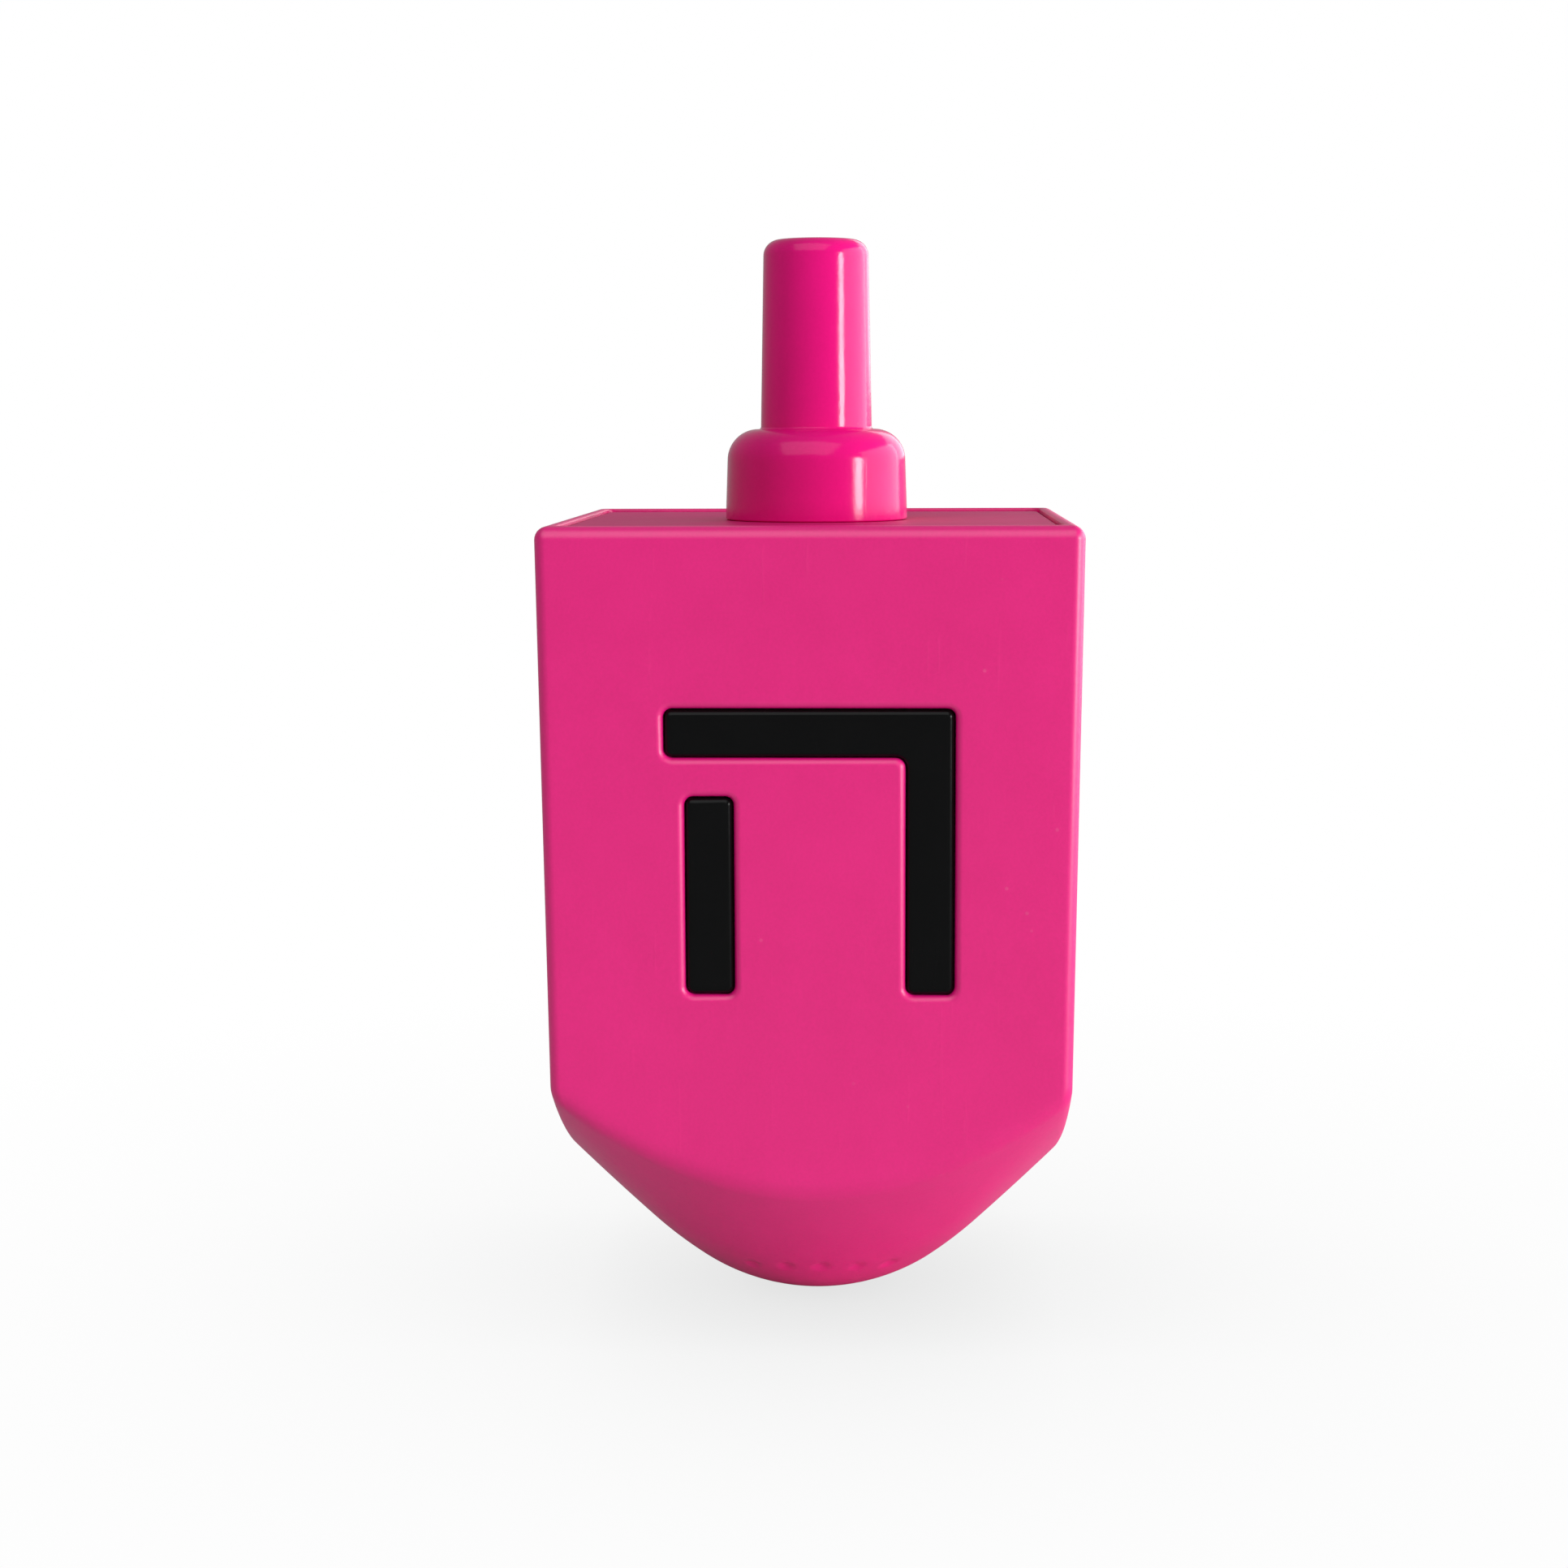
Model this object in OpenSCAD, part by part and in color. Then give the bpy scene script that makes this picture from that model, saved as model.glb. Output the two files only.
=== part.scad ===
// A four-sided spinning top. The hollow body carries a letter on each face, and a cover with a
// finger stem closes its mouth. Millimetres. The tip is at the origin, the spin axis is +Z and
// the front face looks along -Y. Letters run round the body from right to left.

/* [Body] */
// Width across the flat faces at the top
body_w = 32; // [29:0.5:40]
// Height from the tip to the rim
body_h = 49.9; // [47:0.1:60]
// Lean of the flat faces, in degrees: they close in towards the tip
draft = 0.7; // [0.2:0.1:1.2]
// Thickness of the walls and of the nose
wall_t = 2; // [1.6:0.1:2.6]
// Thickness of the rim that stands round the cover
rim_t = 1.15; // [0.9:0.05:1.4]
// Rounding of the four upright edges
edge_r = 0.7; // [0.4:0.05:1]
// Rounding of the edge round the top
rim_r = 0.8; // [0.4:0.05:1]

/* [Nose] */
// Radius of the ball that forms the tip
tip_r = 13.6; // [11:0.1:17]
// Thickness of the nose at the tip
tip_t = 3.2; // [2.4:0.1:4.5]
// Slope of the nose where it leaves the ball, in degrees from level
nose_slope = 36; // [33:0.2:39]
// Distance from the axis at which a panel starts, below the middle of each face
panel_start = 8.2; // [7:0.1:10]
// Slope of a panel where it starts, in degrees from level
panel_slope = 43.3; // [41:0.1:47]
// Distance of a panel's own axis behind the spin axis
panel_back = 4; // [2:0.1:8]
// Radius of the long, nearly straight arcs of the flank and the panels
flank_r = 200; // [120:5:300]
// Number of dents in the row across the front of the nose
dent_count = 5; // [1:1:9]
// Distance of the dents from the axis
dent_out = 9; // [7:0.1:11]
// Turn of the row to the right of the front face's middle, in degrees
dent_turn = 3; // [-20:1:20]
// Spacing of the dents
dent_pitch = 2.2; // [1.6:0.1:3]
// Width of a dent
dent_w = 1.2; // [0.6:0.1:1.5]
// Depth of a dent
dent_d = 0.2; // [0.1:0.05:0.4]

/* [Cover] */
// Distance of the cover's top below the rim
cover_drop = 0.2; // [0:0.05:0.4]
// Thickness of the cover
cover_t = 2.4; // [1.8:0.1:3.2]
// Depth of the skirt that plugs the mouth, below the cover
skirt_h = 2.4; // [1.5:0.1:3.5]
// Thickness of the skirt
skirt_t = 1.4; // [1:0.1:2]
// Gap all round between the cover and the body
cover_gap = 0.1; // [0.05:0.01:0.2]

/* [Stem] */
// Height of the stem above the cover
stem_h = 17.45; // [14:0.05:24]
// Diameter of the finger peg below its rounded top
peg_top_d = 6.6; // [5.6:0.1:7]
// Diameter of the finger peg at its foot
peg_foot_d = 7; // [6:0.1:7.6]
// Rounding of the peg's top edge
peg_r = 1; // [0.4:0.1:1.6]
// Hollow rounding at the peg's foot
foot_r = 0.15; // [0.1:0.05:0.6]
// Diameter of the collar where it stands on the cover
collar_d = 11.5; // [11:0.1:14]
// Diameter of the collar below its rounded shoulder
collar_top_d = 11.25; // [10.8:0.05:12]
// Height of the collar
collar_h = 5.7; // [4:0.1:7]
// Rounding of the collar's shoulder
shoulder_r = 1.95; // [0.6:0.05:2.1]
// Diameter of the tenon that stands in the cover
tenon_d = 7; // [5:0.1:8]

/* [Stem screw] */
// Diameter of the screw's core, which fills the pilot hole
screw_d = 2.4; // [1.8:0.1:3]
// Length of the screw under its head
screw_l = 10; // [6:0.5:13]
// Diameter of the screw's flange
flange_d = 9.4; // [9:0.1:11]
// Thickness of the screw's flange
flange_t = 0.7; // [0.5:0.1:1]
// Diameter of the screw's head
head_d = 5.4; // [4.5:0.1:6.5]
// Height of the screw's head, with its flange
head_h = 1.9; // [1.3:0.1:2.2]
// Span of the cross cut in the head
cross_l = 3.2; // [2.4:0.1:4]
// Width of the cross cut
cross_w = 0.8; // [0.5:0.1:1]
// Depth of the cross cut
cross_d = 0.9; // [0.4:0.1:1.1]

/* [Letters] */
// Width of the two wide letters
letter_w = 17; // [14:0.1:18]
// Height of the letters, as a share of the body's height
letter_share = 0.34; // [0.3:0.002:0.36]
// Width of a letter's strokes
stroke_w = 2.8; // [2:0.1:3.2]
// Distance of the letters' middle below the top edge, along the face, as a share of the body's height
drop_share = 0.384; // [0.36:0.002:0.4]
// Depth of the letters' fronts below the face
letter_sink = 0.1; // [0.05:0.05:0.4]
// Opening between the hanging leg and the bar of the letter hei
hei_gap = 2.4; // [1.5:0.1:4]
// Distance of the hanging leg from the end of the bar
hei_step = 1.2; // [0:0.1:2.5]
// Width of the letter nun
nun_w = 10; // [8:0.1:14]
// Length of the head of the letter nun
nun_head = 6.6; // [5:0.1:8]
// Width of the letter gimel
gimel_w = 10.4; // [8:0.1:14]
// Length of the head of the letter gimel
gimel_head = 6.6; // [5:0.1:8]
// Lean of the foot of the letter gimel, in degrees from upright
gimel_lean = 42; // [30:1:50]

/* [Letter plates] */
// Thickness of the plate behind each letter
plate_t = 1.2; // [0.8:0.1:1.6]
// Plate beyond the letter at each side
plate_side = 1.5; // [1:0.1:1.8]
// Plate beyond the letter at each end, with room for a stake
plate_end = 3.5; // [3.4:0.1:3.8]
// Diameter of the two stakes that hold a plate
stake_d = 1.8; // [1.2:0.1:2.2]
// Diameter of a stake's melted head
stake_head_d = 3; // [2.4:0.1:3.2]
// Thickness of a stake's melted head
stake_head_t = 0.7; // [0.4:0.1:1]
// Gap round a stake or a stroke, and round the tenon and the screw
fit_gap = 0.05; // [0.02:0.01:0.1]

/* [Hidden] */
$fn = 96;
PINK = [0.89, 0.20, 0.50];
BLACK = [0.05, 0.05, 0.06];
STEEL = [0.72, 0.73, 0.75];
// How far a cut runs past the surface that it opens
overrun = 1;
// Lengths of chord in each rounding of the stem
arc_steps = 10;
// Centre of an edge's rounding, as a share of its radius from the faces
edge_centre_share = 0.98;
// Height of the cover's top, where the stem stands
cover_z = body_h - cover_drop;
// Tenon and pilot hole: the screw draws the tenon up short of the cover's underside
tenon_spare = 0.3;
tenon_l = cover_t - tenon_spare;
pilot_spare = 1;
pilot_r = screw_d / 2 + fit_gap;
// The letter of each face, anticlockwise from the front
LETTERS = ["hei", "gimel", "nun", "shin"];
// Letters and their plates
letter_h = letter_share * body_h;
letter_drop = drop_share * body_h;
plate_w = letter_w + 2 * plate_side;
plate_h = letter_h + 2 * plate_end;
stake_z = letter_h / 2 + plate_end / 2;

// Half the body's width at a height
function half_at(z) = body_w / 2 - tan(draft) * (body_h - z);

// A thickness square to a leaning face, measured level
function level(t) = t / cos(draft);

// Points of a round stretch, with its ends
function arc(centre, radius, from, to) =
    [for (i = [0 : arc_steps]) let (a = from + (to - from) * i / arc_steps) centre + radius * [cos(a), sin(a)]];

// A block between two heights with faces parallel to the body's, moved in by a thickness
module leaning_block(inset, low, high) {
    foot = half_at(low) - level(inset);
    head = half_at(high) - level(inset);
    intersection_for (turn = [0, 90])
        rotate([90, 0, turn])
            linear_extrude(height = 2 * body_w, center = true)
                polygon([[-foot, low], [foot, low], [head, high], [-head, high]]);
}

// Height of a long arc over a distance from the axis
function arc_z(centre, r) = centre.y - sqrt(pow(flank_r, 2) - pow(r - centre.x, 2));

// Centre of the long arc that passes a point at a slope
function arc_centre(r, z, slope) = [r - flank_r * sin(slope), z + flank_r * cos(slope)];

// Circle where the ball of the tip runs into the flank, and the centres of the flank's and panels' arcs
meet_r = tip_r * sin(nose_slope);
meet_z = tip_r - tip_r * cos(nose_slope);
flank_centre = arc_centre(meet_r, meet_z, nose_slope);
panel_centre = arc_centre(panel_start, turned_z(panel_start), panel_slope);

// Height of the turned nose, without its panels, over a distance from the axis
function turned_z(r) = r < meet_r ? tip_r - sqrt(pow(tip_r, 2) - pow(r, 2)) : arc_z(flank_centre, r);

// Half outline of what lies inside a long arc, from a height up and moved in by a thickness
module long_arc(centre, inset, low) {
    intersection() {
        translate(centre) circle(flank_r - inset, $fn = 720);
        translate([0, low]) square([2 * body_w, 2 * body_h]);
    }
}

// Everything above the four arched panels, each turned about an axis behind the spin axis
module above_panels(inset) {
    intersection_for (turn = [0 : 90 : 270])
        rotate([0, 0, turn])
            translate([0, panel_back, 0])
                rotate_extrude() long_arc(panel_centre + [panel_back, 0], inset, -body_h);
}

// Everything above the nose: a ball that runs into a flank, steepened by the panels
module above_nose() {
    intersection() {
        rotate_extrude() {
            intersection() {
                translate([0, tip_r]) circle(tip_r);
                square([meet_r, meet_z]);
            }
            long_arc(flank_centre, 0, meet_z);
        }
        above_panels(0);
    }
}

// The hollow of the nose: a flank and panels one wall inside the outer ones, down to a flat floor
module nose_hollow() {
    intersection() {
        rotate_extrude() long_arc(flank_centre, wall_t, tip_t);
        above_panels(wall_t);
    }
}

// What a rounding takes off an edge that runs down along -Z: all of one quarter outside the radius
module edge_scrap(radius, length) {
    translate([0, 0, -length])
        difference() {
            rotate([0, 0, -45]) cube([2 * radius, 2 * radius, length + overrun]);
            translate([0, 0, -overrun]) cylinder(h = length + 3 * overrun, r = radius);
        }
}

// Roundings of the upright edges and of the edge round the top
module body_roundings() {
    edge_in = half_at(body_h) - level(edge_r * edge_centre_share);
    edge_lean = atan(tan(draft) * sqrt(2));
    rim_in = rim_r * edge_centre_share;
    for (turn = [0 : 90 : 270])
        rotate([0, 0, turn]) {
            translate([edge_in, -edge_in, body_h]) rotate([0, edge_lean, -45]) edge_scrap(edge_r, body_h);
            translate([-body_w / 2, -body_w / 2 + rim_in, body_h - rim_in])
                rotate([0, -90, 0]) rotate([0, 0, -45]) edge_scrap(rim_r, body_w);
        }
}

// The row of dents across the front of the nose
module dents() {
    ball_r = (dent_w * dent_w / 4 + dent_d * dent_d) / (2 * dent_d);
    tilt = (nose_slope + panel_slope) / 2;
    step = asin(dent_pitch / dent_out);
    for (i = [0 : dent_count - 1]) {
        turn = dent_turn + (i - (dent_count - 1) / 2) * step;
        reach = norm([dent_out * sin(turn), dent_out * cos(turn) + panel_back]) - panel_back;
        z = max(turned_z(dent_out), arc_z(panel_centre, reach));
        rotate([0, 0, turn])
            translate([0, -dent_out, z])
                rotate([-tilt, 0, 0])
                    translate([0, 0, dent_d - ball_r]) sphere(ball_r);
    }
}

// Puts things on a letter's face: x to the right, y into the wall and z up, from the middle of the letter
module on_face(letter) {
    rotate([0, 0, 90 * search([letter], LETTERS)[0]])
        translate([0, -body_w / 2, body_h])
            rotate([draft, 0, 0])
                translate([0, 0, -letter_drop]) children();
}

// Raises a flat outline between two depths in the wall
module through_wall(from, to) {
    rotate([90, 0, 0]) translate([0, 0, -to]) linear_extrude(height = to - from) children();
}

// Puts something at both stakes of a face, with z pointing into the body from a depth in the wall
module at_stakes(depth) {
    for (side = [-1, 1])
        translate([0, depth, side * stake_z]) rotate([-90, 0, 0]) children();
}

// A straight stroke between two corners, grown on all sides
module stroke(low, high, grow) {
    translate(low - [grow, grow]) square(high - low + 2 * [grow, grow]);
}

module nun_outline(grow) {
    foot = -letter_h / 2;
    head = letter_h / 2;
    right = nun_w / 2;
    stroke([right - stroke_w, foot], [right, head], grow);
    stroke([right - nun_head, head - stroke_w], [right, head], grow);
    stroke([-right, foot], [right, foot + stroke_w], grow);
}

module gimel_outline(grow) {
    foot = -letter_h / 2;
    head = letter_h / 2;
    right = gimel_w / 2;
    stroke([right - stroke_w, foot], [right, head], grow);
    stroke([right - gimel_head, head - stroke_w], [right, head], grow);
    // The foot leans out to the left and ends on the base line
    intersection() {
        translate([-right, foot])
            rotate(-gimel_lean)
                translate([-grow, -letter_h / 2])
                    square([stroke_w + 2 * grow, letter_h / 2 + gimel_w]);
        stroke([-gimel_w, foot], [right - stroke_w / 2, head], grow);
    }
}

module hei_outline(grow) {
    foot = -letter_h / 2;
    head = letter_h / 2;
    right = letter_w / 2;
    leg = -right + hei_step;
    stroke([-right, head - stroke_w], [right, head], grow);
    stroke([right - stroke_w, foot], [right, head], grow);
    stroke([leg, foot], [leg + stroke_w, head - stroke_w - hei_gap], grow);
}

module shin_outline(grow) {
    foot = -letter_h / 2;
    head = letter_h / 2;
    right = letter_w / 2;
    stroke([-right, foot], [right, foot + stroke_w], grow);
    for (x = [-right, -stroke_w / 2, right - stroke_w])
        stroke([x, foot], [x + stroke_w, head], grow);
}

module letter_outline(letter, grow) {
    if (letter == "hei") hei_outline(grow);
    if (letter == "gimel") gimel_outline(grow);
    if (letter == "nun") nun_outline(grow);
    if (letter == "shin") shin_outline(grow);
}

// A plate behind a wall, with its letter standing through the wall's window
module letter_plate(letter) {
    on_face(letter) {
        through_wall(letter_sink, wall_t) letter_outline(letter, 0);
        difference() {
            translate([-plate_w / 2, wall_t, -plate_h / 2]) cube([plate_w, plate_t, plate_h]);
            at_stakes(wall_t - overrun) cylinder(h = plate_t + 2 * overrun, r = stake_d / 2 + fit_gap);
        }
    }
}

// A hollow cup: four walls and a nose, with a window for each letter and stakes behind it
module body_shell() color(PINK) {
    difference() {
        intersection() {
            leaning_block(0, 0, body_h);
            above_nose();
        }
        body_roundings();
        dents();
        intersection() {
            leaning_block(wall_t, 0, body_h + overrun);
            nose_hollow();
        }
        leaning_block(rim_t, cover_z - cover_t, body_h + overrun);
        for (letter = LETTERS)
            on_face(letter) through_wall(-overrun, wall_t + overrun) letter_outline(letter, fit_gap);
    }
    for (letter = LETTERS)
        on_face(letter) {
            at_stakes(wall_t / 2) cylinder(h = wall_t / 2 + plate_t + stake_head_t, r = stake_d / 2);
            at_stakes(wall_t + plate_t) cylinder(h = stake_head_t, r = stake_head_d / 2);
        }
}

// A square cover that sits on the ledge inside the rim, with a skirt that plugs the mouth
module top_cover() color(PINK) {
    under = cover_z - cover_t;
    difference() {
        union() {
            leaning_block(rim_t + cover_gap, under, cover_z);
            difference() {
                leaning_block(wall_t + cover_gap, under - skirt_h, under + cover_t / 2);
                leaning_block(wall_t + cover_gap + skirt_t, under - skirt_h - overrun, under);
            }
        }
        translate([0, 0, under - overrun]) cylinder(h = cover_t + 2 * overrun, r = tenon_d / 2 + fit_gap);
    }
}

// A collar with a finger peg above it and a tenon below it, turned in one piece
module stem() color(PINK) {
    shoulder = min(shoulder_r, collar_top_d / 2 - peg_foot_d / 2 - foot_r);
    outline = concat(
        [[0, -tenon_l], [tenon_d / 2, -tenon_l], [tenon_d / 2, 0], [collar_d / 2, 0]],
        arc([collar_top_d / 2 - shoulder, collar_h - shoulder], shoulder, 0, 90),
        arc([peg_foot_d / 2 + foot_r, collar_h + foot_r], foot_r, 270, 180),
        arc([peg_top_d / 2 - peg_r, stem_h - peg_r], peg_r, 0, 90),
        [[0, stem_h]]
    );
    translate([0, 0, cover_z])
        difference() {
            rotate_extrude() polygon(outline);
            translate([0, 0, -tenon_l - overrun])
                cylinder(h = screw_l - cover_t + pilot_spare + tenon_l + overrun, r = pilot_r);
        }
}

// A flanged screw that holds the stem from under the cover
module stem_screw() color(STEEL) {
    translate([0, 0, cover_z - cover_t]) {
        cylinder(h = screw_l, r = screw_d / 2);
        translate([0, 0, -flange_t]) cylinder(h = flange_t, r = flange_d / 2);
        difference() {
            translate([0, 0, -head_h]) cylinder(h = head_h, r = head_d / 2);
            for (turn = [0, 90])
                rotate([0, 0, turn])
                    translate([-cross_l / 2, -cross_w / 2, -head_h - overrun])
                        cube([cross_l, cross_w, cross_d + overrun]);
        }
    }
}

module nun_plate() color(BLACK) letter_plate("nun");

module gimel_plate() color(BLACK) letter_plate("gimel");

module hei_plate() color(BLACK) letter_plate("hei");

module shin_plate() color(BLACK) letter_plate("shin");

body_shell();
top_cover();
stem();
stem_screw();
nun_plate();
gimel_plate();
hei_plate();
shin_plate();
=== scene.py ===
"""Looks of a hollow four-sided spinning top: its shell, letter plates, cover, turned stem and screw."""

import math

import bpy
import numpy as np
from mathutils import Matrix, Vector
from mathutils.geometry import delaunay_2d_cdt


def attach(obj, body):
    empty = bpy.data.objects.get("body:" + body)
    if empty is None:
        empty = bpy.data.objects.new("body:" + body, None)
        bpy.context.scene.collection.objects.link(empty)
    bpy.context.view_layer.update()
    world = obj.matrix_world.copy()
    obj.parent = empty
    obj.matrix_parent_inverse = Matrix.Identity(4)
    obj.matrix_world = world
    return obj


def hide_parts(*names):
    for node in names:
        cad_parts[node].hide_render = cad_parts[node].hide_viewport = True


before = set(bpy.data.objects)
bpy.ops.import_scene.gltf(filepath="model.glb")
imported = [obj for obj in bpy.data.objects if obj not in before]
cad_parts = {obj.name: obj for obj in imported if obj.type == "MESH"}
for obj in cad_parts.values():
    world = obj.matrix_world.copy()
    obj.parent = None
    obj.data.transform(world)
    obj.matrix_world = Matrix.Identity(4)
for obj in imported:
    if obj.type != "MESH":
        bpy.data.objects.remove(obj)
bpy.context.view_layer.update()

MM = 0.001

# Sizes of the CAD part, in millimetres and radians
BODY_W = 32.0
BODY_H = 49.9
DRAFT = math.radians(0.7)
WALL_T = 2.0
RIM_T = 1.15
EDGE_R = 0.7
RIM_R = 0.8
TIP_R = 13.6
TIP_T = 3.2
SLOPE = math.radians(36)
PANEL_START = 8.2
PANEL_SLOPE = math.radians(43.3)
PANEL_BACK = 4.0
FLANK_R = 200.0
DENT_COUNT = 5
DENT_OUT = 9.0
DENT_TURN = math.radians(3)
DENT_PITCH = 2.2
DENT_W = 1.2
DENT_D = 0.2
COVER_DROP = 0.2
COVER_Z = BODY_H - COVER_DROP
COVER_T = 2.4
SKIRT_H = 2.4
SKIRT_T = 1.4
COVER_GAP = 0.1
STEM_H = 17.45
PEG_TOP_R = 3.3
PEG_FOOT_R = 3.5
PEG_EDGE_R = 1.0
FOOT_R = 0.15
COLLAR_R = 5.75
COLLAR_TOP_R = 5.625
COLLAR_H = 5.7
SHOULDER_R = 1.95
TENON_R = 3.5
TENON_L = 2.1
PILOT_R = 1.25
PILOT_TOP = 8.6
LETTER_W = 17.0
LETTER_SHARE = 0.34
DROP_SHARE = 0.384
LETTER_H = LETTER_SHARE * BODY_H
LETTER_DROP = DROP_SHARE * BODY_H
STROKE_W = 2.8
LETTER_SINK = 0.1
HEI_GAP = 2.4
HEI_STEP = 1.2
NUN_W = 10.0
NUN_HEAD = 6.6
GIMEL_W = 10.4
GIMEL_HEAD = 6.6
GIMEL_LEAN = math.radians(42)
PLATE_T = 1.2
PLATE_SIDE = 1.5
PLATE_END = 3.5
PLATE_W = LETTER_W + 2 * PLATE_SIDE
PLATE_H = LETTER_H + 2 * PLATE_END
STAKE_R = 0.9
STAKE_Z = LETTER_H / 2 + PLATE_END / 2
STAKE_HEAD_R = 1.5
STAKE_HEAD_T = 0.7
FIT_GAP = 0.05

# Soft edges that only the looks have
NOSE_BLEND = 0.52
PANEL_BLEND = 0.3
HOLLOW_BLEND = 0.3
HOLLOW_FLOOR_BLEND = 0.4
DENT_LIP = 0.08
LIP_R = 0.45
STROKE_R = 0.4
CONVEX_R = 0.45
CONCAVE_R = 0.65
LEAST_R = 0.03
MOUTH_R = 0.6
COVER_EDGE_R = 0.2
SKIRT_CORNER_R = 0.3
SKIRT_FOOT_R = 0.35
STAKE_CHAMFER = 0.1
STAKE_HEAD_SIDE = 0.2
SMALL_R = 0.12

# Letters of the four faces, from the front round by the right, and the cosine and sine of each face's turn
LETTERS = ("hei", "gimel", "nun", "shin")
QUARTER_TURNS = ((1, 0), (0, 1), (-1, 0), (0, -1))

# Columns and rings of the shell's mesh; the rays are in degrees below level
FLAT_STEPS = 80
CORNER_STEPS = 8
FAN_Z = 20.0
FAN_REACH = 40.0
FAN_HALVINGS = 36
NOSE_RAYS = np.r_[np.arange(88.5, 70, -1.5), np.arange(70, 4, -0.75), 3, 1.5]
HOLLOW_RAYS = np.r_[1.5, 3, np.arange(5, 76, 1.25), np.arange(76, 89, 3)]
PANEL_LOW = 20.9
PANEL_HIGH = 40.6
PANEL_SHARE = 0.7

# Steps round the soft edges and the turned pieces
RIM_STEPS = 7
LIP_STEPS = 5
STROKE_STEPS = 5
LETTER_CORNER_STEPS = 5
COVER_EDGE_STEPS = 4
HOLE_STEPS = 24
HEAD_STEPS = 6
SHOULDER_STEPS = 16
FOOT_STEPS = 8
PEG_EDGE_STEPS = 14
STEM_SEGMENTS = 128
STAKE_SEGMENTS = 32
PAPER_STEPS = 64

# Limits of the mesh tools
KEEP_INSIDE = 1
FILL_NEAR = 1e-6
JOIN_NEAR = 1e-6
TINY = 1e-20

# Colours of the finishes, as linear red, green and blue
PINK_DARK = (0.70, 0.003, 0.172)
PINK_LIGHT = (0.90, 0.005, 0.238)
PALE_DUST = (0.85, 0.55, 0.62)
BLACK_DARK = (0.0012, 0.0014, 0.0015)
BLACK_LIGHT = (0.0034, 0.0036, 0.0038)
STEEL_DARK = (0.50, 0.51, 0.53)
STEEL_LIGHT = (0.74, 0.74, 0.75)
PAPER_GREY = (0.86, 0.86, 0.86)
WORLD_GREY = (0.08, 0.08, 0.08)
WHITE = (1, 1, 1)

# Paper and world: the paper's radius in millimetres, how far the paper's painted shadow spreads in metres,
# and shares of white
PAPER_R = 280.0
PAINTED_SHADOW_REACH = 0.08
PAINTED_SHADOW_LIFT = 0.75
GLOSS_DIM = 0.55
WORLD_GLOSS = 0.35

# Camera: turns in degrees, place in millimetres, clip in metres
CAMERA_TURNS = (-2.396, 7.69, -0.223)
CAMERA_SPOT = (5.09, -172.6, 56.06)
CAMERA_LENS = 62.16
CAMERA_CLIP = (0.01, 10)

# Soft lights: name, bearing in degrees, then height, distance, width and tall in millimetres, and power
LAMPS = (
    ("key_window", 57, 95, 840, 150, 200, 3.8),
    ("side_box", 100, 200, 800, 1100, 600, 7.2),
    ("front_box", -12, 750, 600, 1100, 900, 5.1),
    ("back_fill", 149, 260, 700, 500, 400, 1.3),
)


# Mesh making
class Skin:
    """Collects the points and faces of one closed mesh, in millimetres."""

    def __init__(self):
        self.points = []
        self.faces = []
        self.count = 0

    def add(self, points):
        """Takes in points and gives back their numbers."""
        points = np.asarray(points, float)
        first = self.count
        self.points.append(points)
        self.count += len(points)
        return np.arange(first, self.count)

    def band(self, a, b, keep=None):
        """Faces between two closed loops: outwards if a runs anticlockwise below b."""
        quads = np.c_[a, np.roll(a, -1), np.roll(b, -1), b]
        if keep is not None:
            quads = quads[keep]
        self.faces += quads.tolist()

    def cone(self, loop, apex):
        """Triangles from a closed loop to one point."""
        tris = np.c_[loop, np.roll(loop, -1), np.full(len(loop), apex)]
        self.faces += tris.tolist()

    def fill(self, loops, flat, flip=False):
        """Triangles between closed loops that lie in one plane; flat holds their places in it."""
        ids = np.concatenate(loops)
        spots = [Vector(p) for points in flat for p in points]
        edges = []
        first = 0
        for loop in loops:
            n = len(loop)
            edges += [(first + i, first + (i + 1) % n) for i in range(n)]
            first += n
        places, _, tris, origins, _, _ = delaunay_2d_cdt(spots, edges, [], KEEP_INSIDE, FILL_NEAR)
        back = [ids[origin[0]] for origin in origins]
        for tri in tris:
            a, b, c = (places[i] for i in tri)
            if not between(flat, (a + b + c) / 3):
                continue
            turned = (b - a).cross(c - a) < 0
            face = [int(back[i]) for i in tri]
            self.faces.append(face[::-1] if turned != flip else face)

    def mesh(self, name):
        made = bpy.data.meshes.new(name)
        made.from_pydata((np.concatenate(self.points) * MM).tolist(), [], self.faces)
        return made


def between(loops, spot):
    """True if a spot is inside an odd number of closed loops."""
    crossings = 0
    for loop in loops:
        x, z = loop[:, 0], loop[:, 1]
        x2, z2 = np.roll(x, -1), np.roll(z, -1)
        spans = (z > spot.y) != (z2 > spot.y)
        rise = np.where(z2 == z, 1.0, z2 - z)
        crossings += np.count_nonzero(spans & (spot.x < x + (spot.y - z) * (x2 - x) / rise))
    return crossings % 2 == 1


def soften(mesh):
    """Smooth shading whose normals follow the larger faces, so flat areas stay flat."""
    n = len(mesh.vertices)
    co = np.zeros(n * 3)
    mesh.vertices.foreach_get("co", co)
    co = co.reshape(-1, 3)
    mesh.calc_loop_triangles()
    tris = np.zeros(len(mesh.loop_triangles) * 3, int)
    mesh.loop_triangles.foreach_get("vertices", tris)
    tris = tris.reshape(-1, 3)
    a, b, c = (co[tris[:, i]] for i in range(3))
    area = np.cross(b - a, c - a)
    normals = np.zeros((n, 3))
    for i in range(3):
        np.add.at(normals, tris[:, i], area)
    length = np.linalg.norm(normals, axis=1, keepdims=True)
    normals /= np.maximum(length, TINY)
    mesh.polygons.foreach_set("use_smooth", np.ones(len(mesh.polygons), bool))
    mesh.normals_split_custom_set_from_vertices(normals.tolist())


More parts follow.
